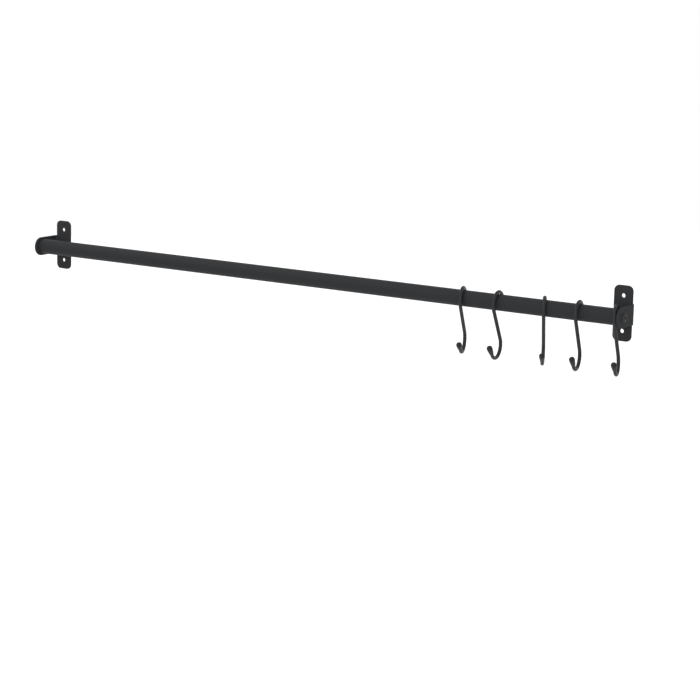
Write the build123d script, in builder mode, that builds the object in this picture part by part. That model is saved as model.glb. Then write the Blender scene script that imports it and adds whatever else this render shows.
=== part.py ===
from build123d import *
from math import acos, degrees
import os

os.makedirs("parts", exist_ok=True)

# Driving dimensions, in millimetres and degrees.
# The rail runs along X, the wall is the plane Y = 0, the room is on the -Y side, Z = 0 is the rail's axis.

overall_length = 800.0
rail_diameter = 18.0
rail_wall = 1.0
rail_standoff = 26.8

sheet = 2.0
bend_inside_radius = 2.0
plate_width = 22.0
plate_height = 60.0
plate_corner = 6.0
plate_set_back = 2.5
wall_hole_diameter = 4.6
wall_hole_spacing = 38.0
flange_height = 22.4
flange_depth = 40.7
flange_nose_radius = 11.0
end_hole_diameter = 5.5

thread_diameter = 5.0
thread_clearance = 0.05
screw_length = 14.0
screw_point_chamfer = 0.8
head_diameter = 9.5
head_height = 2.75
head_rim = 0.5
head_flat_diameter = 4.0
socket_width = 3.0
socket_depth = 1.6

plug_length = 18.0
plug_clearance = 0.02
plug_lead_in = 1.0

hook_wire = 4.0
loop_radius = 12.9
loop_spacing = 46.5
loop_opening_angle = 44.0
hook_tail = 11.7
hook_rail_gap = 0.4

cap_diameter = 6.4
cap_mouth_diameter = 5.0
cap_length = 11.5
cap_rim_radius = 0.4
cap_bore_clearance = 0.03

# Where each hook hangs along the rail, and how far it is turned, leant and tilted from square
hook_places = {
    "hook_1": {"along": 206.0, "swivel": 18.5, "lean": -6.0, "tilt": 0.0},
    "hook_2": {"along": 250.2, "swivel": 6.5, "lean": 2.7, "tilt": 0.0},
    "hook_3": {"along": 306.6, "swivel": 25.6, "lean": -3.0, "tilt": 0.0},
    "hook_4": {"along": 347.9, "swivel": 11.7, "lean": 3.6, "tilt": 0.0},
    "hook_5": {"along": 391.6, "swivel": 17.0, "lean": 3.0, "tilt": 3.2},
}

# Sizes that follow from the driving dimensions

end_face = overall_length / 2
flange_inner_face = end_face - sheet
rail_length = 2 * flange_inner_face
plate_outer_edge = end_face - plate_set_back
plate_inner_edge = plate_outer_edge - plate_width
plate_centre = plate_outer_edge - plate_width / 2
bend_outside_radius = bend_inside_radius + sheet
bend_start = end_face - bend_outside_radius


def export_piece(piece, node):
    """Label one finished solid and write it under its node's name."""
    piece.part.label = node
    export_step(piece.part, f"parts/{node}.step")


# Rail: a round tube, square cut at both ends
with BuildPart() as rail_tube:
    with BuildSketch(Plane.YZ.offset(-rail_length / 2)):
        with Locations((-rail_standoff, 0)):
            Circle(rail_diameter / 2)
            Circle(rail_diameter / 2 - rail_wall, mode=Mode.SUBTRACT)
    extrude(amount=rail_length)

export_piece(rail_tube, "rail_tube")


# Bracket: one folded sheet, a wall plate with a shorter flange turned out at its outer edge
with BuildPart() as right_bracket:
    with BuildSketch(Plane.XY.offset(-flange_height / 2)):
        with BuildLine():
            Polyline(
                (plate_inner_edge, 0),
                (end_face, 0),
                (end_face, -flange_depth),
                (flange_inner_face, -flange_depth),
                (flange_inner_face, -sheet),
                (plate_inner_edge, -sheet),
                close=True,
            )
        make_face()
        outside_corner = vertices().group_by(Axis.X)[-1].sort_by(Axis.Y)[-1]
        fillet(outside_corner, radius=bend_outside_radius)
        inside_corner = vertices().group_by(Axis.X)[-2].sort_by(Axis.Y)[-1]
        fillet(inside_corner, radius=bend_inside_radius)
    extrude(amount=flange_height)

    nose_edges = edges().filter_by(Axis.X).group_by(Axis.Y)[0]
    fillet(nose_edges, radius=flange_nose_radius)

    with BuildSketch(Plane.XZ):
        with Locations((plate_centre, 0)):
            plate_outline = Rectangle(plate_width, plate_height)
        fillet(plate_outline.vertices(), radius=plate_corner)
        with Locations((bend_start, 0)):
            Rectangle(
                bend_outside_radius,
                flange_height,
                align=(Align.MIN, Align.CENTER),
                mode=Mode.SUBTRACT,
            )
    extrude(amount=sheet)

    with BuildSketch(Plane.XZ):
        with Locations((plate_centre, 0)):
            with GridLocations(0, wall_hole_spacing, 1, 2):
                Circle(wall_hole_diameter / 2)
    extrude(amount=sheet, mode=Mode.SUBTRACT)

    with BuildSketch(Plane.YZ.offset(flange_inner_face)):
        with Locations((-rail_standoff, 0)):
            Circle(end_hole_diameter / 2)
    extrude(amount=sheet, mode=Mode.SUBTRACT)

with BuildPart() as left_bracket:
    mirror(right_bracket.part, about=Plane.YZ)

export_piece(right_bracket, "right_bracket")
export_piece(left_bracket, "left_bracket")


# Threaded plug pressed into each end of the tube, flush with its cut
plug_radius = rail_diameter / 2 - rail_wall - plug_clearance

with BuildPart() as right_plug:
    with BuildSketch(Plane.YZ.offset(flange_inner_face)):
        with Locations((-rail_standoff, 0)):
            Circle(plug_radius)
            Circle(thread_diameter / 2 + thread_clearance, mode=Mode.SUBTRACT)
    extrude(amount=-plug_length)
    plug_inner_rim = faces().sort_by(Axis.X)[0].outer_wire().edges()
    chamfer(plug_inner_rim, length=plug_lead_in)

with BuildPart() as left_plug:
    mirror(right_plug.part, about=Plane.YZ)

export_piece(right_plug, "right_threaded_plug")
export_piece(left_plug, "left_threaded_plug")


# End screw: a domed socket head against the flange, its thread in the plug
with BuildPart() as right_end_screw:
    with BuildSketch(Plane.XY):
        with BuildLine():
            axis_line = Line(
                (end_face - screw_length, -rail_standoff),
                (end_face + head_height, -rail_standoff),
            )
            head_top = (end_face + head_height, -rail_standoff - head_flat_diameter / 2)
            head_edge = (end_face + head_rim, -rail_standoff - head_diameter / 2)
            Line(axis_line @ 1, head_top)
            TangentArc(head_top, head_edge, tangent=(0, -1))
            Polyline(
                head_edge,
                (end_face, -rail_standoff - head_diameter / 2),
                (end_face, -rail_standoff - thread_diameter / 2),
                (end_face - screw_length, -rail_standoff - thread_diameter / 2),
                axis_line @ 0,
            )
        make_face()
    revolve(axis=Axis((0, -rail_standoff, 0), (1, 0, 0)))
    screw_point = edges().filter_by(GeomType.CIRCLE).sort_by(Axis.X)[0]
    chamfer(screw_point, length=screw_point_chamfer)
    with BuildSketch(Plane.YZ.offset(end_face + head_height)):
        with Locations((-rail_standoff, 0)):
            RegularPolygon(socket_width / 2, side_count=6, major_radius=False)
    extrude(amount=-socket_depth, mode=Mode.SUBTRACT)

with BuildPart() as left_end_screw:
    mirror(right_end_screw.part, about=Plane.YZ)

export_piece(right_end_screw, "right_end_screw")
export_piece(left_end_screw, "left_end_screw")


# S-hooks: round wire bent into two equal loops joined by a straight shank that touches both

loop_centre_height = rail_diameter / 2 + hook_rail_gap + hook_wire / 2 - loop_radius
shank_angle = degrees(acos(2 * loop_radius / loop_spacing)) - 90
loop_sweep = 180 - loop_opening_angle - shank_angle


def hook_plane(place):
    """The plane that a hook lies in: x towards the room, y up, origin at the upper loop's centre."""
    loop_centre = Pos(place["along"], -rail_standoff, loop_centre_height)
    square_to_rail = Plane(origin=(0, 0, 0), x_dir=(0, -1, 0), z_dir=(-1, 0, 0)).location
    return Plane(
        loop_centre * Rot(Z=place["swivel"]) * square_to_rail * Rot(Z=place["lean"]) * Rot(X=place["tilt"])
    )


def bent_wire(plane):
    """The wire: tail, upper loop, shank, lower loop and tail, swept along its centre line."""
    with BuildPart() as wire:
        with BuildLine(plane) as centre_line:
            upper_loop = CenterArc((0, 0), loop_radius, 180 - loop_opening_angle, -loop_sweep)
            lower_loop = CenterArc((0, -loop_spacing), loop_radius, 180 + shank_angle, loop_sweep)
            Line(upper_loop @ 1, lower_loop @ 0)
            Line(upper_loop @ 0, upper_loop @ 0 - (upper_loop % 0) * hook_tail)
            Line(lower_loop @ 1, lower_loop @ 1 + (lower_loop % 1) * hook_tail)
        wire_path = centre_line.wire()
        with BuildSketch(Plane(origin=wire_path @ 0, z_dir=wire_path % 0)):
            Circle(hook_wire / 2)
        sweep(path=wire_path)
    return wire, wire_path


def end_cap(end_point, outward, side):
    """A soft cap over a wire end: a hollow, tapered sleeve with a ball end, turned about the wire."""
    ball_radius = cap_diameter / 2
    bore_radius = hook_wire / 2 + cap_bore_clearance
    mouth = ball_radius - cap_length
    with BuildPart() as cap:
        with BuildSketch(Plane(origin=end_point, x_dir=outward, z_dir=side)):
            with BuildLine():
                Polyline(
                    (ball_radius, 0),
                    (0, 0),
                    (0, bore_radius),
                    (mouth, bore_radius),
                    (mouth, cap_mouth_diameter / 2),
                    (0, ball_radius),
                )
                RadiusArc((0, ball_radius), (ball_radius, 0), ball_radius)
            cap_profile = make_face()
            mouth_corner = cap_profile.vertices().group_by(Axis.X)[0].sort_by(Axis.Y)[-1]
            fillet(mouth_corner, radius=cap_rim_radius)
        revolve(axis=Axis(end_point, outward))
    return cap


for hook_name, place in hook_places.items():
    plane = hook_plane(place)
    wire, wire_path = bent_wire(plane)
    export_piece(wire, f"{hook_name}_wire")
    upper_cap = end_cap(wire_path @ 0, wire_path % 0 * -1, plane.z_dir)
    export_piece(upper_cap, f"{hook_name}_upper_cap")
    lower_cap = end_cap(wire_path @ 1, wire_path % 1, plane.z_dir)
    export_piece(lower_cap, f"{hook_name}_lower_cap")
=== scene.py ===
from math import acos, cos, degrees, pi, radians, sin, tan

import bmesh
import bpy
import numpy as np
from mathutils import Matrix, Vector


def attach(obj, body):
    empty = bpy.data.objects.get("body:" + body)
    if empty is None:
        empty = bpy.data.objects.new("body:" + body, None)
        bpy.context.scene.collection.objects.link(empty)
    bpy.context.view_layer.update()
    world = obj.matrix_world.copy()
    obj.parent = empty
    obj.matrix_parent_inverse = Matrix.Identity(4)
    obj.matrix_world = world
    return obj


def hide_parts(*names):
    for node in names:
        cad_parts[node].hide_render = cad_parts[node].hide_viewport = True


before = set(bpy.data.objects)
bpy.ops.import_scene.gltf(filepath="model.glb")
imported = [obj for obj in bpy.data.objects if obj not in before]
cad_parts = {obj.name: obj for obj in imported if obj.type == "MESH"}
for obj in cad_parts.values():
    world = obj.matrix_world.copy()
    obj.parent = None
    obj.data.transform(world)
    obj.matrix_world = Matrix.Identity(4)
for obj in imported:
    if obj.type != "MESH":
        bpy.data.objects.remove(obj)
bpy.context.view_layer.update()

# Driving dimensions in millimetres and degrees, under the names that the part's source uses

MM = 0.001

overall_length = 800.0
rail_diameter = 18.0
rail_wall = 1.0
rail_standoff = 26.8

sheet = 2.0
bend_inside_radius = 2.0
plate_width = 22.0
plate_height = 60.0
plate_corner = 6.0
plate_set_back = 2.5
wall_hole_diameter = 4.6
wall_hole_spacing = 38.0
flange_height = 22.4
flange_depth = 40.7
flange_nose_radius = 11.0
end_hole_diameter = 5.5

thread_diameter = 5.0
thread_pitch = 0.8
thread_depth = 0.4
screw_length = 14.0
head_diameter = 9.5
head_height = 2.75
head_rim = 0.5
head_flat_diameter = 4.0
socket_width = 3.0
socket_depth = 1.6

hook_wire = 4.0
loop_radius = 12.9
loop_spacing = 46.5
loop_opening_angle = 44.0
hook_tail = 11.7
hook_rail_gap = 0.4

cap_diameter = 6.4
cap_mouth_diameter = 5.0
cap_length = 11.5
cap_bore_clearance = 0.03

# Finish of the coated edges: how far the paint rounds cut edges of the sheet, hole rims and the tube's ends
sheet_edge_radius = 0.4
hole_rim_radius = 0.25
tube_edge_radius = 0.3

# Finish of the screws. The socket's rim is a row of (distance below the crown, distance out from the flats)
socket_cone_depth = 0.35
socket_floor_share = 0.97
socket_rim = [(0.18, 0.0), (0.05, 0.06), (0.0, 0.18)]
head_rim_softening = 0.15
head_edge_chamfer = 0.12
head_underside_step = 0.6
thread_relief = 0.1
thread_start = 2.0
thread_finish = 0.05
point_taper_length = 0.8
point_taper_depth = 0.75
point_end_radius = 1.6

# Finish of the hooks: the rim of the cut wire, and the rolled lip and swelling side of the soft caps
wire_end_rim = 0.3
lip_inner_radius = 0.12
lip_outer_radius = 0.28
lip_length = 0.8
lip_swell = 0.02
side_swell_power = 1.1

# How finely the pieces are cut, in points along an arc, a run or a full turn
rim_points = 5
profile_arc_points = 6
face_rows = 10
plate_corner_points = 13
strip_points = 25
bend_points = 17
nose_points = 25
tube_length_points = 42
tube_segments = 128
dome_points = 12
thread_rows_a_turn = 8
screw_segments = 96
loop_points = 64
tail_points = 8
shank_points = 16
wire_segments = 40
cap_side_points = 14
cap_ball_points = 16
cap_segments = 48

# Points nearer than this, in metres, are joined
weld_distance = 2e-6
# How far the broad faces rule the shading at a rim, from 1 to 100
broad_face_weight = 90

# Where each hook hangs along the rail, and how far it is turned, leant and tilted from square
hook_places = {
    "hook_1": {"along": 206.0, "swivel": 18.5, "lean": -6.0, "tilt": 0.0},
    "hook_2": {"along": 250.2, "swivel": 6.5, "lean": 2.7, "tilt": 0.0},
    "hook_3": {"along": 306.6, "swivel": 25.6, "lean": -3.0, "tilt": 0.0},
    "hook_4": {"along": 347.9, "swivel": 11.7, "lean": 3.6, "tilt": 0.0},
    "hook_5": {"along": 391.6, "swivel": 17.0, "lean": 3.0, "tilt": 3.2},
}

# Sizes that follow from the driving dimensions
end_face = overall_length / 2
flange_inner_face = end_face - sheet
plate_outer_edge = end_face - plate_set_back
plate_inner_edge = plate_outer_edge - plate_width
plate_centre = plate_outer_edge - plate_width / 2
bend_outside_radius = bend_inside_radius + sheet
bend_start = end_face - bend_outside_radius
loop_centre_height = rail_diameter / 2 + hook_rail_gap + hook_wire / 2 - loop_radius
shank_angle = degrees(acos(2 * loop_radius / loop_spacing)) - 90


# Mesh making

def unit(vectors):
    """Vectors scaled to length one, along the last axis."""
    return vectors / np.linalg.norm(vectors, axis=-1, keepdims=True)


def steps(first, last, count):
    """Evenly spaced points on the straight line from first to last, both included, as rows."""
    share = np.linspace(0.0, 1.0, count)[:, None]
    return np.asarray(first, float) * (1 - share) + np.asarray(last, float) * share


def grid_quads(rows, columns, wrap_rows=False, wrap_columns=False):
    """The four point numbers of every face of a grid: face (i, j) joins points (i, j) and (i+1, j+1)."""
    numbers = np.arange(rows * columns).reshape(rows, columns)
    if wrap_rows:
        numbers = np.concatenate([numbers, numbers[:1]], axis=0)
    if wrap_columns:
        numbers = np.concatenate([numbers, numbers[:, :1]], axis=1)
    corners = [numbers[:-1, :-1], numbers[1:, :-1], numbers[1:, 1:], numbers[:-1, 1:]]
    return np.stack(corners, axis=-1)


def make_piece(name, shells, crisp=35.0, weigh=True):
    """One object from shells, each (points in millimetres, faces).

    Points that meet are joined, and faces are turned outwards. crisp is the angle in degrees past which an
    edge stays sharp. weigh lets broad faces set the shading at rims."""
    points = np.concatenate([shell[0].reshape(-1, 3) for shell in shells]) * MM
    starts = np.cumsum([0] + [shell[0].reshape(-1, 3).shape[0] for shell in shells[:-1]])
    quads = np.concatenate([shell[1].reshape(-1, 4) + start for shell, start in zip(shells, starts)])
    mesh = bpy.data.meshes.new(name)
    mesh.vertices.add(len(points))
    mesh.vertices.foreach_set("co", points.astype(np.float32).ravel())
    mesh.loops.add(quads.size)
    mesh.loops.foreach_set("vertex_index", quads.astype(np.int32).ravel())
    mesh.polygons.add(len(quads))
    mesh.polygons.foreach_set("loop_start", np.arange(0, quads.size, 4, dtype=np.int32))
    mesh.update(calc_edges=True)
    work = bmesh.new()
    work.from_mesh(mesh)
    bmesh.ops.remove_doubles(work, verts=work.verts, dist=weld_distance)
    bmesh.ops.recalc_face_normals(work, faces=work.faces)
    work.to_mesh(mesh)
    work.free()
    mesh.shade_smooth()
    mesh.set_sharp_from_angle(angle=radians(crisp))
    piece = bpy.data.objects.new(name, mesh)
    bpy.context.scene.collection.objects.link(piece)
    if weigh:
        rims = piece.modifiers.new("Weighted Normal", "WEIGHTED_NORMAL")
        rims.keep_sharp = True
        rims.weight = broad_face_weight
    return piece


def rounded_profile(corners, closed=True):
    """A line through (x, y, radius) corners, where a corner with a radius becomes an arc touching both sides.

    With 2 * half as the angle between the sides, the arc's centre is radius / sin half from the corner. With s
    from 0 to 1, a point seen from there is (sin((1 - s) * swing) * first + sin(s * swing) * last) / sin swing.
    """
    parts = []
    count = len(corners)
    share = np.linspace(0, 1, profile_arc_points)[:, None]
    for k, (x, y, radius) in enumerate(corners):
        here = np.array([x, y], float)
        if radius == 0 or (not closed and k in (0, count - 1)):
            parts.append(here[None])
            continue
        into = unit(np.array(corners[k - 1][:2], float) - here)
        out = unit(np.array(corners[(k + 1) % count][:2], float) - here)
        half = acos(float(np.clip(into @ out, -1, 1))) / 2
        centre = here + unit(into + out) * radius / sin(half)
        first = here + into * radius / tan(half) - centre
        last = here + out * radius / tan(half) - centre
        swing = pi - 2 * half
        from_centre = (np.sin((1 - share) * swing) * first + np.sin(share * swing) * last) / sin(swing)
        parts.append(centre + from_centre)
    return np.concatenate(parts)


def turned(profile, centre, axis, side, segments, closed=False):
    """A turned surface: point (i, t) = centre + along_i * axis + radius_i * (cos t * side + sin t * third).

    The third direction is square to axis and side. profile is (along, radius), two arrays over i, and radius
    may instead have one row over t for each i."""
    axis, side = unit(np.asarray(axis, float)), unit(np.asarray(side, float))
    third = np.cross(axis, side)
    along, radius = profile
    t = np.linspace(0, 2 * pi, segments, endpoint=False)
    radius = np.broadcast_to(np.asarray(radius, float).reshape(len(along), -1), (len(along), segments))
    spoke = np.cos(t)[:, None] * side + np.sin(t)[:, None] * third
    points = np.asarray(centre, float) + np.asarray(along)[:, None, None] * axis + radius[..., None] * spoke
    return points, grid_quads(len(along), segments, wrap_rows=closed, wrap_columns=True)


def mirrored(shells):
    """The same shells on the other end of the rail: x becomes -x."""
    return [(points * np.array([-1.0, 1.0, 1.0]), quads) for points, quads in shells]


# Sheet-metal brackets

def pierced_sheet(outline, outward, seam, hole_centre, hole_radius):
    """A flat sheet round one hole, as a ring: columns go round the hole, rows go through the section.

    With s from 0 to 1, a face point is hole rim + s * (outline - rim). Cut edges are quarter arcs: the point
    moves in by radius * (1 - sin a) along outward while its depth grows by radius * (1 - cos a). The rear half
    is the front half seen from the other face. Between two seam columns the wall is left open, so another
    sheet can join there. Points come out as (a, b, depth)."""
    turn = np.linspace(0, pi / 2, rim_points)
    spoke = unit(outline - hole_centre)
    reach = hole_radius + hole_rim_radius * (1 - np.cos(turn))
    rim = hole_centre + spoke * reach[:, None, None]
    rim_depth = hole_rim_radius * (1 - np.sin(turn))
    edge = outline - outward * (sheet_edge_radius * (1 - np.sin(turn)))[:, None, None]
    edge_depth = sheet_edge_radius * (1 - np.cos(turn))
    share = np.linspace(0, 1, face_rows + 2)[1:-1, None, None]
    face = rim[-1] + (edge[0] - rim[-1]) * share
    front = np.concatenate([rim, face, edge])
    depth = np.concatenate([rim_depth, np.zeros(len(face)), edge_depth])
    place = np.concatenate([front, front[::-1]])
    depth = np.concatenate([depth, sheet - depth[::-1]])
    points = np.concatenate([place, np.broadcast_to(depth[:, None, None], place.shape[:2] + (1,))], axis=-1)
    quads = grid_quads(len(place), len(outline), wrap_rows=True, wrap_columns=True)
    first_wall_row = len(rim) + len(face)
    last_wall_row = len(place) - 1 - first_wall_row
    row = np.arange(len(place))[:, None]
    on_wall = (row >= first_wall_row) & (row < last_wall_row)
    on_seam = (seam & np.roll(seam, -1))[None, :]
    return points, quads[~(on_wall & on_seam)]


def border(*runs):
    """Joins runs of (points, outward directions, on seam) into the three arrays of one outline."""
    places = np.concatenate([np.asarray(run[0], float) for run in runs])
    outward = np.concatenate([np.broadcast_to(np.asarray(run[1], float), np.shape(run[0])) for run in runs])
    seam = np.concatenate([np.full(len(run[0]), run[2]) for run in runs])
    return places, outward, seam


def arc(centre, radius, first, last, count):
    """Points on a circle from angle first to last in degrees, and their outward directions."""
    a = np.radians(np.linspace(first, last, count))
    outward = np.stack([np.cos(a), np.sin(a)], axis=-1)
    return np.asarray(centre) + radius * outward, outward


def wall_plate_half():
    """The upper half of the wall plate in (x, z, depth), from its middle line up.

    It is notched where the bend starts, up to the height of the flange."""
    half_flange = flange_height / 2
    half_plate = plate_height / 2
    corner_height = half_plate - plate_corner
    left, right = plate_inner_edge, plate_outer_edge
    middle = steps((left + sheet_edge_radius, 0), (bend_start, 0), count=14)[1:]
    bend_side = steps((bend_start, 0), (bend_start, half_flange), count=9)[1:]
    notch = steps((bend_start, half_flange), (right, half_flange), count=5)[1:]
    right_side = steps((right, half_flange), (right, corner_height), count=10)[:-1]
    right_corner = arc((right - plate_corner, corner_height), plate_corner, 0, 90, plate_corner_points)
    top = steps((right - plate_corner, half_plate), (left + plate_corner, half_plate), count=8)[1:-1]
    left_corner = arc((left + plate_corner, corner_height), plate_corner, 90, 180, plate_corner_points)
    left_side = steps((left, corner_height), (left, 0), count=12)[1:-1]
    outline, outward, seam = border(
        ([(left, 0)], (-1, 0), True),
        (middle, (0, 0), True),
        (bend_side, (0, 0), False),
        (notch, (0, 0), False),
        (right_side, (1, 0), False),
        (*right_corner, False),
        (top, (0, 1), False),
        (*left_corner, False),
        (left_side, (-1, 0), False),
    )
    hole_centre = np.array([plate_centre, wall_hole_spacing / 2])
    return pierced_sheet(outline, outward, seam, hole_centre, wall_hole_diameter / 2)


def bracket_shells():
    """The right bracket: wall plate in two halves about z = 0, then the strip of flange and bend.

    The bend carries the strip's section a quarter turn: point = bend centre + (inside radius + depth) *
    (sin a, cos a)."""
    points, quads = wall_plate_half()
    upper = np.stack([points[..., 0], -sheet + points[..., 2], points[..., 1]], axis=-1)
    lower = upper * np.array([1.0, 1.0, -1.0])

    half_flange = flange_height / 2
    flat = half_flange - sheet_edge_radius
    bend_line = -bend_outside_radius
    nose_centre = -flange_depth + flange_nose_radius
    nose_rise = half_flange - flange_nose_radius
    across = np.linspace(-flat, flat, strip_points)
    seam_points = np.stack([np.full(strip_points - 2, bend_line), across[1:-1]], axis=-1)
    upper_side = steps((bend_line, half_flange), (nose_centre, half_flange), count=22)[1:-1]
    upper_nose = arc((nose_centre, nose_rise), flange_nose_radius, 90, 180, nose_points)
    lower_nose = arc((nose_centre, -nose_rise), flange_nose_radius, 180, 270, nose_points)
    lower_side = steps((nose_centre, -half_flange), (bend_line, -half_flange), count=22)[1:-1]
    outline, outward, seam = border(
        ([(bend_line, -half_flange)], (0, -1), True),
        (seam_points, (0, 0), True),
        ([(bend_line, half_flange)], (0, 1), True),
        (upper_side, (0, 1), False),
        (*upper_nose, False),
        (*lower_nose, False),
        (lower_side, (0, -1), False),
    )
    hole_centre = np.array([-rail_standoff, 0.0])
    points, flange_quads = pierced_sheet(outline, outward, seam, hole_centre, end_hole_diameter / 2)
    flange = np.stack([flange_inner_face + points[..., 2], points[..., 0], points[..., 1]], axis=-1)

    turn = np.linspace(0, pi / 2, rim_points)[1:]
    edge_across = half_flange - sheet_edge_radius * (1 - np.sin(turn))
    edge = np.stack([edge_across, sheet_edge_radius * (1 - np.cos(turn))], -1)
    rear_face = np.array([0.0, sheet])
    front = np.stack([across, np.zeros(strip_points)], -1)
    rising = np.concatenate([edge, edge[::-1] * (1, -1) + rear_face])
    rear = front[::-1] + rear_face
    falling = rising[::-1] * (-1, 1)
    section = np.concatenate([front, rising, rear, falling])
    a = np.linspace(0, pi / 2, bend_points)[:, None]
    reach = bend_inside_radius + section[:, 1]
    bend = np.stack(
        [
            bend_start + reach * np.sin(a),
            -bend_outside_radius + reach * np.cos(a),
            np.broadcast_to(section[:, 0], (bend_points, len(section))),
        ],
        axis=-1,
    )
    closing = np.broadcast_to([bend_start, -sheet / 2, 0.0], (1, len(section), 3))
    bend = np.concatenate([closing, bend])
    bend_quads = grid_quads(bend_points + 1, len(section), wrap_columns=True)
    return [(upper, quads), (lower, quads), (flange, flange_quads), (bend, bend_quads)]


right_bracket_shells = bracket_shells()
right_bracket = make_piece("right_bracket_folded", right_bracket_shells)
left_bracket = make_piece("left_bracket_folded", mirrored(right_bracket_shells))


# Rail tube

def tube_shell():
    """The tube: a ring section with softened rims, turned about the rail's axis."""
    half = flange_inner_face
    outer, inner = rail_diameter / 2, rail_diameter / 2 - rail_wall
    ends = rounded_profile([
        (-half, outer, tube_edge_radius),
        (half, outer, tube_edge_radius),
        (half, inner, tube_edge_radius),
        (-half, inner, tube_edge_radius),
    ])
    left_outer, right_outer, right_inner, left_inner = np.split(ends, 4)
    outer_run = steps(left_outer[-1], right_outer[0], tube_length_points)[1:-1]
    inner_run = outer_run[::-1] * (1, 0) + (0, inner)
    profile = np.concatenate([left_outer, outer_run, right_outer, right_inner, inner_run, left_inner])
    axis_point = (0, -rail_standoff, 0)
    return turned(profile.T, axis_point, (1, 0, 0), (0, 0, 1), tube_segments, closed=True)


rail_tube = make_piece("rail_tube_coated", [tube_shell()])


# End screws

def screw_shell():
    """A domed socket screw, turned about its axis, with along measured outwards from the flange's face.

    The socket's radius at angle t is half the key width / cos(t mod 60 deg - 30 deg). The dome is an arc that
    leaves the crown level: along = top - R * (1 - cos a), radius = crown + R * sin a. The thread's radius is
    the crest less the thread depth times a triangle wave of along / pitch - t / full turn: a helix."""
    t = np.linspace(0, 2 * pi, screw_segments, endpoint=False)
    full_turn = np.ones(screw_segments)

    hexagon = socket_width / 2 / np.cos(np.mod(t, pi / 3) - pi / 6)
    floor = head_height - socket_depth
    along = [floor - socket_cone_depth, floor, floor]
    radii = [0 * hexagon, socket_floor_share * hexagon, hexagon]
    for below, outside in socket_rim:
        along.append(head_height - below)
        radii.append(hexagon + outside)

    crown = head_flat_diameter / 2
    side = head_diameter / 2
    drop = head_height - head_rim
    spread = side - crown
    dome_radius = (drop ** 2 + spread ** 2) / (2 * drop)
    swing = np.linspace(0, acos(1 - drop / dome_radius), dome_points)
    along += list(head_height - dome_radius * (1 - np.cos(swing)))
    round_radii = list(crown + dome_radius * np.sin(swing))
    along += [head_rim - head_rim_softening, head_edge_chamfer, 0.0, 0.0, 0.0]
    round_radii += [side, side, side - head_edge_chamfer, side - head_underside_step, thread_diameter / 2]
    radii += [radius * full_turn for radius in round_radii]

    run = np.arange(thread_relief, screw_length - thread_finish, thread_pitch / thread_rows_a_turn)
    wave = np.abs(2 * np.mod(run[:, None] / thread_pitch - t / (2 * pi), 1.0) - 1)
    fade = np.clip(np.minimum(run - thread_start, screw_length - run) / thread_pitch, 0, 1)[:, None]
    taper = np.clip((run - (screw_length - point_taper_length)) / point_taper_length, 0, 1)[:, None]
    thread = thread_diameter / 2 - thread_depth * wave * fade - point_taper_depth * taper
    along += [*-run, -screw_length, -screw_length]
    radii += [*thread, point_end_radius * full_turn, 0 * full_turn]
    axis_point = (end_face, -rail_standoff, 0)
    return turned((along, np.array(radii)), axis_point, (1, 0, 0), (0, 1, 0), screw_segments)


right_end_screw = make_piece("right_end_screw_domed", [screw_shell()], crisp=40.0)
left_end_screw = make_piece("left_end_screw_domed", mirrored([screw_shell()]), crisp=40.0)


# S-hooks

def turn_matrix(axis, angle):
    """Rotation by angle degrees about a coordinate axis."""
    return np.array(Matrix.Rotation(radians(angle), 3, axis))


def hook_directions(place):
    """Where a hook lies: its upper loop's centre, and a matrix of its own directions.

    The matrix's columns point towards the room, upwards and out of the hook's plane."""
    square_to_rail = np.array([(0, 0, -1), (-1, 0, 0), (0, 1, 0)], float)
    turned_plane = turn_matrix("Z", place["swivel"]) @ square_to_rail
    turned_plane = turned_plane @ turn_matrix("Z", place["lean"]) @ turn_matrix("X", place["tilt"])
    centre = np.array([place["along"], -rail_standoff, loop_centre_height])
    return centre, turned_plane


def wire_line():
    """The wire's centre line in its own plane and its direction there: tail, arc, shank, arc, tail.

    An arc's point is its centre + loop radius * (cos a, sin a). Tails and shank are straight and touch both
    arcs."""
    opening = 180 - loop_opening_angle
    a = np.radians(np.linspace(opening, shank_angle, loop_points))
    b = np.radians(np.linspace(180 + shank_angle, 180 + opening, loop_points))
    upper = loop_radius * np.stack([np.cos(a), np.sin(a)], -1)
    lower = loop_radius * np.stack([np.cos(b), np.sin(b)], -1) - (0, loop_spacing)
    upper_way = np.stack([np.sin(a), -np.cos(a)], -1)
    lower_way = np.stack([-np.sin(b), np.cos(b)], -1)
    first_tail = steps(upper[0] - upper_way[0] * hook_tail, upper[0], tail_points)[:-1]
    last_tail = steps(lower[-1], lower[-1] + lower_way[-1] * hook_tail, tail_points)[1:]
    shank = steps(upper[-1], lower[0], shank_points)[1:-1]
    line = np.concatenate([first_tail, upper, shank, lower, last_tail])
    way = np.concatenate([
        np.broadcast_to(upper_way[0], first_tail.shape), upper_way,
        np.broadcast_to(upper_way[-1], shank.shape), lower_way,
        np.broadcast_to(lower_way[-1], last_tail.shape),
    ])
    return line, way


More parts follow.
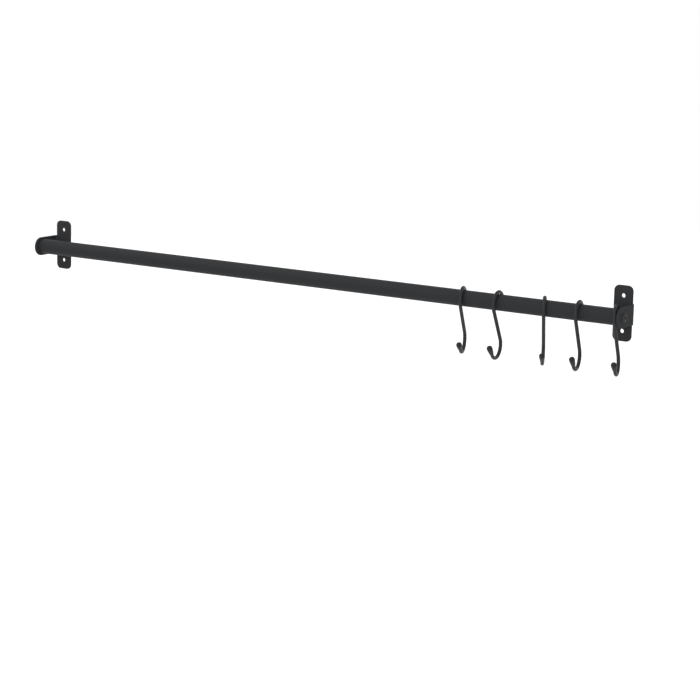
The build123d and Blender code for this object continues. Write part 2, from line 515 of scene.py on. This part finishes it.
def wire_shell(place):
    """Round wire carried along its centre line. Both ends close in a quarter-round rim and a pole.

    Point = line + radius * (cos t * normal in the hook's plane + sin t * direction out of the plane)."""
    centre, directions = hook_directions(place)
    line, way = wire_line()
    radius = hook_wire / 2
    a = np.linspace(0, pi / 2, rim_points)
    inset = (wire_end_rim - wire_end_rim * np.sin(a))[:, None]
    rim_radius = radius - wire_end_rim + wire_end_rim * np.cos(a)
    start_line = np.concatenate([line[:1], line[0] + way[0] * inset[::-1]])
    start_radius = np.concatenate([[0.0], rim_radius[::-1]])
    finish_line = np.concatenate([line[-1] - way[-1] * inset, line[-1:]])
    finish_radius = np.concatenate([rim_radius, [0.0]])
    path = np.concatenate([start_line, line[1:-1], finish_line])
    direction = np.concatenate([
        np.broadcast_to(way[0], start_line.shape), way[1:-1], np.broadcast_to(way[-1], finish_line.shape)
    ])
    size = np.concatenate([start_radius, np.full(len(line) - 2, radius), finish_radius])
    normal = np.stack([-direction[:, 1], direction[:, 0]], -1)
    t = np.linspace(0, 2 * pi, wire_segments, endpoint=False)
    flat = path[:, None, :] + size[:, None, None] * np.cos(t)[None, :, None] * normal[:, None, :]
    rise = size[:, None] * np.sin(t)[None, :]
    local = np.concatenate([flat, rise[..., None]], axis=-1)
    return centre + local @ directions.T, grid_quads(len(path), len(t), wrap_columns=True)


def cap_shell(place, last_end):
    """A dipped soft cap turned about the wire's end, with along measured outwards from that end.

    Bore to the wire's end, a rolled lip at the mouth, a side that swells by a power of a sine towards the
    ball, then the ball: along = R * sin a, radius = R * cos a."""
    centre, directions = hook_directions(place)
    line, way = wire_line()
    end, outward = (line[-1], way[-1]) if last_end else (line[0], -way[0])
    ball = cap_diameter / 2
    mouth = ball - cap_length
    lip = cap_mouth_diameter / 2
    bore = hook_wire / 2 + cap_bore_clearance
    lip_round = rounded_profile(
        [
            (0.0, bore, 0),
            (mouth, bore, lip_inner_radius),
            (mouth, lip, lip_outer_radius),
            (mouth + lip_length, lip + lip_swell, 0),
        ],
        closed=False,
    )
    s = np.linspace(0, 1, cap_side_points)[1:]
    side_along = mouth + lip_length + s * (-mouth - lip_length)
    side_radius = lip + (ball - lip) * np.sin(s * pi / 2) ** side_swell_power
    a = np.linspace(0, pi / 2, cap_ball_points)[1:]
    along = np.concatenate([[0.0], lip_round[:, 0], side_along, ball * np.sin(a)])
    radius = np.concatenate([[0.0], lip_round[:, 1], side_radius, ball * np.cos(a)])
    axis = directions @ np.append(outward, 0.0)
    wire_end = centre + directions @ np.append(end, 0.0)
    return turned((along, radius), wire_end, axis, directions[:, 2], cap_segments)


hook_wires = {}
hook_caps = {}
for hook, place in hook_places.items():
    hook_wires[hook] = make_piece(f"{hook}_bent_wire", [wire_shell(place)], weigh=False)
    hook_caps[f"{hook}_upper_cap"] = make_piece(f"{hook}_upper_soft_cap", [cap_shell(place, False)])
    hook_caps[f"{hook}_lower_cap"] = make_piece(f"{hook}_lower_soft_cap", [cap_shell(place, True)])


# Shared shader effects, with scales in bumps a metre and depths in metres

# Grain of a coated skin: how much finer the specks are than the peel, how far the slow drift reaches,
# and what each of them adds to gloss and height
speck_to_peel = 3.2
drift_scale = 38.0
drift_in_gloss = 0.12
peel_in_gloss = 0.08
speck_in_height = 0.35

# Polish where a hook slides: how fast the band sets in with height, and its streaks, drawn out along the rail
polish_onset = 1400.0
streak_scale = 1300.0
streak_stretch = (0.12, 1.0, 1.0)
streak_contrast = 2.4
streak_offset = -0.7

# Tool marks on turned steel: fine rings about the rail's axis
ring_scale = 4000.0
ring_stretch = (1.0, 0.05, 0.05)


def linear(red, green, blue):
    """A colour given as it looks on a screen, 0 to 255, turned into a shader's values by the sRGB curve."""
    shade = np.array([red, green, blue]) / 255.0
    return (*np.where(shade <= 0.04045, shade / 12.92, ((shade + 0.055) / 1.055) ** 2.4).tolist(), 1.0)


def start_group(name, inputs, outputs):
    """A node group with named inputs (name, kind, value) and outputs (name, kind), and its two end nodes."""
    group = bpy.data.node_groups.new(name, "ShaderNodeTree")
    for label, kind, value in inputs:
        socket = group.interface.new_socket(label, in_out="INPUT", socket_type=kind)
        if value is not None:
            socket.default_value = value
    for label, kind in outputs:
        group.interface.new_socket(label, in_out="OUTPUT", socket_type=kind)
    return group, group.nodes.new("NodeGroupInput"), group.nodes.new("NodeGroupOutput")


def feed(tree, value, socket):
    """Gives a socket its value, which is a number or another node's socket."""
    if isinstance(value, (int, float)):
        socket.default_value = value
    else:
        tree.links.new(value, socket)


def noise(tree, place, scale, detail):
    """A noise node that reads place."""
    node = tree.nodes.new("ShaderNodeTexNoise")
    node.inputs["Detail"].default_value = detail
    feed(tree, scale, node.inputs["Scale"])
    tree.links.new(place, node.inputs["Vector"])
    return node.outputs["Fac"]


def calc(tree, operation, *values):
    """One maths node, each value a number or a socket."""
    node = tree.nodes.new("ShaderNodeMath")
    node.operation = operation
    for value, socket in zip(values, node.inputs):
        feed(tree, value, socket)
    return node.outputs[0]


def stretched(tree, place, factors):
    """The same place with each coordinate scaled, which draws a pattern out where the factor is small."""
    node = tree.nodes.new("ShaderNodeVectorMath")
    node.operation = "MULTIPLY"
    node.inputs[1].default_value = factors
    tree.links.new(place, node.inputs[0])
    return node.outputs[0]


def powder_coat_grain():
    """Orange-peel skin of baked powder: bumps, finer specks in the shade, and slow drifts in shade and gloss.

    Shade is the given shade * (1 + speck + drift), and height is the peel + a share of the specks."""
    group, start, end = start_group(
        "powder_coat_grain",
        [
            ("Place", "NodeSocketVector", None),
            ("Shade", "NodeSocketColor", (0.04, 0.04, 0.04, 1)),
            ("Peel Scale", "NodeSocketFloat", 900.0),
            ("Speck", "NodeSocketFloat", 0.12),
            ("Drift", "NodeSocketFloat", 0.1),
            ("Roughness", "NodeSocketFloat", 0.5),
        ],
        [("Shade", "NodeSocketColor"), ("Roughness", "NodeSocketFloat"), ("Height", "NodeSocketFloat")],
    )
    given = start.outputs
    place, peel_scale = given["Place"], given["Peel Scale"]
    peel = noise(group, place, peel_scale, detail=1.5)
    fine = noise(group, place, calc(group, "MULTIPLY", peel_scale, speck_to_peel), detail=2.0)
    slow = noise(group, place, drift_scale, detail=2.0)
    peel_swing, fine_swing, slow_swing = (calc(group, "SUBTRACT", part, 0.5) for part in (peel, fine, slow))
    speck = calc(group, "MULTIPLY", fine_swing, given["Speck"])
    drift = calc(group, "MULTIPLY", slow_swing, given["Drift"])
    tone = calc(group, "ADD", calc(group, "ADD", speck, drift), 1.0)
    shade = group.nodes.new("ShaderNodeVectorMath")
    shade.operation = "SCALE"
    group.links.new(given["Shade"], shade.inputs[0])
    group.links.new(tone, shade.inputs["Scale"])
    group.links.new(shade.outputs[0], end.inputs["Shade"])
    gloss = calc(group, "MULTIPLY_ADD", slow_swing, drift_in_gloss, given["Roughness"])
    gloss = calc(group, "MULTIPLY_ADD", peel_swing, peel_in_gloss, gloss)
    group.links.new(gloss, end.inputs["Roughness"])
    height = calc(group, "MULTIPLY_ADD", fine, speck_in_height, peel)
    group.links.new(height, end.inputs["Height"])
    return group


def slide_polish():
    """Faint polish where metal slides on metal: a soft band above a height, broken up along its length."""
    group, start, end = start_group(
        "slide_polish",
        [
            ("Place", "NodeSocketVector", None),
            ("Roughness", "NodeSocketFloat", 0.5),
            ("From Height", "NodeSocketFloat", 0.0082),
            ("Strength", "NodeSocketFloat", 0.08),
        ],
        [("Roughness", "NodeSocketFloat")],
    )
    given = start.outputs
    parts = group.nodes.new("ShaderNodeSeparateXYZ")
    group.links.new(given["Place"], parts.inputs[0])
    over = calc(group, "SUBTRACT", parts.outputs["Z"], given["From Height"])
    band = calc(group, "MULTIPLY", over, polish_onset)
    band.node.use_clamp = True
    streak = noise(group, stretched(group, given["Place"], streak_stretch), streak_scale, detail=3.0)
    broken = calc(group, "MULTIPLY_ADD", streak, streak_contrast, streak_offset)
    mask = calc(group, "MULTIPLY", band, broken)
    mask.node.use_clamp = True
    drop = calc(group, "MULTIPLY", mask, given["Strength"])
    group.links.new(calc(group, "SUBTRACT", given["Roughness"], drop), end.inputs["Roughness"])
    return group


grain_group = powder_coat_grain()
polish_group = slide_polish()


def start_material(name):
    """A material's node tree, its shader and the object's own coordinates."""
    material = bpy.data.materials.new(name)
    material.use_nodes = True
    tree = material.node_tree
    place = tree.nodes.new("ShaderNodeTexCoord").outputs["Object"]
    return material, tree, tree.nodes["Principled BSDF"], place


def use_group(tree, group, place, **values):
    """Places a shared group with its own values."""
    node = tree.nodes.new("ShaderNodeGroup")
    node.node_tree = group
    tree.links.new(place, node.inputs["Place"])
    for label, value in values.items():
        node.inputs[label.replace("_", " ")].default_value = value
    return node


def raise_skin(tree, shader, height, strength, depth):
    """Bumps in the shading, as deep as depth at full strength."""
    bump = tree.nodes.new("ShaderNodeBump")
    bump.inputs["Strength"].default_value = strength
    bump.inputs["Distance"].default_value = depth
    tree.links.new(height, bump.inputs["Height"])
    tree.links.new(bump.outputs["Normal"], shader.inputs["Normal"])


def coated(
    name, shade, roughness, specular, peel_scale, peel_depth, peel_strength=0.35, speck=0.12, polish=0.0
):
    """Baked powder coat over steel, or the dipped skin of a soft cap, with polish where metal slides on it."""
    material, tree, shader, place = start_material(name)
    grain = use_group(
        tree, grain_group, place, Shade=shade, Peel_Scale=peel_scale, Speck=speck, Roughness=roughness
    )
    tree.links.new(grain.outputs["Shade"], shader.inputs["Base Color"])
    gloss = grain.outputs["Roughness"]
    if polish:
        rub = use_group(tree, polish_group, place, Strength=polish)
        tree.links.new(gloss, rub.inputs["Roughness"])
        gloss = rub.outputs["Roughness"]
    tree.links.new(gloss, shader.inputs["Roughness"])
    shader.inputs["Specular IOR Level"].default_value = specular
    raise_skin(tree, shader, grain.outputs["Height"], peel_strength, peel_depth)
    return material


def bare_steel(name, shade):
    """Machined, zinc-plated steel: bright metal with fine rings of tool marks about the rail's axis."""
    material, tree, shader, place = start_material(name)
    shader.inputs["Metallic"].default_value = 1.0
    grain = use_group(tree, grain_group, place, Shade=shade, Peel_Scale=1500.0, Speck=0.05, Roughness=0.32)
    tree.links.new(grain.outputs["Shade"], shader.inputs["Base Color"])
    tree.links.new(grain.outputs["Roughness"], shader.inputs["Roughness"])
    rings = noise(tree, stretched(tree, place, ring_stretch), ring_scale, detail=2.0)
    raise_skin(tree, shader, rings, strength=0.25, depth=0.00004)
    return material


rail_coat = coated(
    "rail_powder_coat", linear(43, 45, 47), roughness=0.6, specular=0.1,
    peel_scale=850.0, peel_depth=0.00012, polish=0.1,
)
bracket_coat = coated(
    "bracket_powder_coat", linear(50, 51, 53), roughness=0.62, specular=0.08,
    peel_scale=900.0, peel_depth=0.00012,
)
hook_coat = coated(
    "hook_powder_coat", linear(38, 39, 40), roughness=0.42, specular=0.18,
    peel_scale=1300.0, peel_depth=0.00008,
)
screw_black = coated(
    "screw_black_finish", linear(51, 52, 54), roughness=0.45, specular=0.15,
    peel_scale=2400.0, peel_depth=0.00003,
)
cap_soft = coated(
    "cap_soft_plastic", linear(41, 41, 40), roughness=0.42, specular=0.12,
    peel_scale=700.0, peel_depth=0.0001, peel_strength=0.2, speck=0.06,
)
plug_steel = bare_steel("plug_zinc_steel", linear(186, 188, 190))


# What each piece is made of, rides on and stands for

def dress(piece, material, body, slot, *nodes):
    """Gives a new piece its material and its body, and hides the nodes that it stands for. slot is not used.
    """
    piece.data.materials.append(material)
    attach(piece, body)
    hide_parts(*nodes)


dress(rail_tube, rail_coat, "rail", "rail_powder_coat", "rail_tube")
dress(right_bracket, bracket_coat, "rail", "bracket_powder_coat", "right_bracket")
dress(left_bracket, bracket_coat, "rail", "bracket_powder_coat", "left_bracket")
dress(right_end_screw, screw_black, "rail", "screw_black", "right_end_screw")
dress(left_end_screw, screw_black, "rail", "screw_black", "left_end_screw")
for hook in hook_places:
    dress(hook_wires[hook], hook_coat, hook, "hook_powder_coat", f"{hook}_wire")
    for cap in (f"{hook}_upper_cap", f"{hook}_lower_cap"):
        dress(hook_caps[cap], cap_soft, hook, "cap_rubber", cap)

for plug in ("right_threaded_plug", "left_threaded_plug"):
    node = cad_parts[plug]
    node.data.materials.clear()
    node.data.materials.append(plug_steel)


# Floor, world and lamps, in metres and watts

floor_height = -0.75
floor_reach = 4.0
floor_back = 6.0
floor_shade = 0.86
floor_glow = 0.6
fill_level = 0.66
white_level = 1.0


def seen_directly(tree):
    """1 where the camera, a reflection or a clear material looks, 0 for the rays that carry diffuse light."""
    light_path = tree.nodes.new("ShaderNodeLightPath").outputs
    looked_at = calc(tree, "MAXIMUM", light_path["Is Camera Ray"], light_path["Is Glossy Ray"])
    return calc(tree, "MAXIMUM", looked_at, light_path["Is Transmission Ray"])


def pale_floor():
    """A wide flat floor below the rail: a grid of squares in x and y at one height.

    Seen directly, it glows up to white, less the shadow that falls on it."""
    sideways = np.linspace(-floor_reach, floor_reach, num=9)
    to_wall = np.linspace(-floor_reach, floor_back, num=11)
    x, y = np.meshgrid(sideways, to_wall, indexing="ij")
    points = np.stack([x, y, np.full(x.shape, floor_height)], axis=-1) / MM
    floor = make_piece("pale_floor", [(points, grid_quads(*x.shape))], weigh=False)
    material, tree, shader, _ = start_material("pale_floor")
    shader.inputs["Base Color"].default_value = (floor_shade, floor_shade, floor_shade, 1)
    shader.inputs["Roughness"].default_value = 0.9
    glow = tree.nodes.new("ShaderNodeEmission")
    tree.links.new(calc(tree, "MULTIPLY", seen_directly(tree), floor_glow), glow.inputs["Strength"])
    both = tree.nodes.new("ShaderNodeAddShader")
    tree.links.new(shader.outputs[0], both.inputs[0])
    tree.links.new(glow.outputs[0], both.inputs[1])
    tree.links.new(both.outputs[0], tree.nodes["Material Output"].inputs["Surface"])
    floor.data.materials.append(material)


def white_world():
    """White where it is seen directly, and a softer level for the light that fills the scene."""
    world = bpy.data.worlds.new("studio")
    bpy.context.scene.world = world
    world.use_nodes = True
    tree = world.node_tree
    fill = tree.nodes["Background"]
    seen = tree.nodes.new("ShaderNodeBackground")
    for background, level in ((fill, fill_level), (seen, white_level)):
        background.inputs["Color"].default_value = (1, 1, 1, 1)
        background.inputs["Strength"].default_value = level
    mix = tree.nodes.new("ShaderNodeMixShader")
    tree.links.new(seen_directly(tree), mix.inputs[0])
    tree.links.new(fill.outputs[0], mix.inputs[1])
    tree.links.new(seen.outputs[0], mix.inputs[2])
    tree.links.new(mix.outputs[0], tree.nodes["World Output"].inputs["Surface"])


def soft_box(name, place, target, size, power):
    """A square area lamp at place that faces target."""
    lamp = bpy.data.lights.new(name, "AREA")
    lamp.size = size
    lamp.energy = power
    stand = bpy.data.objects.new(name, lamp)
    stand.location = place
    stand.rotation_euler = (Vector(target) - Vector(place)).to_track_quat("-Z", "Y").to_euler()
    bpy.context.scene.collection.objects.link(stand)


pale_floor()
white_world()
soft_box("key_softbox", place=(-0.6, -0.5, 0.8), target=(-0.4, 0.0, 0.0), size=0.6, power=3.6)
soft_box("front_softbox", place=(0.7, -1.6, 0.3), target=(0.4, 0.0, 0.0), size=1.0, power=10.0)


# Camera at the photograph's place, from the fit of the rail, plates and holes

# Place in metres, turns in degrees, lens and frame in millimetres
camera_place = (1.35022, -2.00528, 0.37367)
camera_yaw = 33.098
camera_pitch = 10.771
camera_roll = 1.239
camera_lens = 108.98
camera_frame_width = 36.0
nearest_seen = 0.01
farthest_seen = 50.0


def photo_camera():
    """A camera turned left by yaw, down by pitch and about its own line of sight by roll."""
    yaw, pitch, roll = radians(camera_yaw), radians(camera_pitch), radians(camera_roll)
    ahead = np.array([-sin(yaw) * cos(pitch), cos(yaw) * cos(pitch), -sin(pitch)])
    right = np.array([cos(yaw), sin(yaw), 0.0])
    up = np.cross(right, ahead)
    rolled_right = cos(roll) * right + sin(roll) * up
    rolled_up = -sin(roll) * right + cos(roll) * up
    data = bpy.data.cameras.new("photo_camera")
    data.sensor_width = camera_frame_width
    data.lens = camera_lens
    data.clip_start = nearest_seen
    data.clip_end = farthest_seen
    camera = bpy.data.objects.new("photo_camera", data)
    turn = Matrix((rolled_right.tolist(), rolled_up.tolist(), (-ahead).tolist())).transposed()
    camera.matrix_world = Matrix.Translation(camera_place) @ turn.to_4x4()
    bpy.context.scene.collection.objects.link(camera)
    bpy.context.scene.camera = camera


photo_camera()
bpy.context.scene.view_settings.view_transform = "Standard"
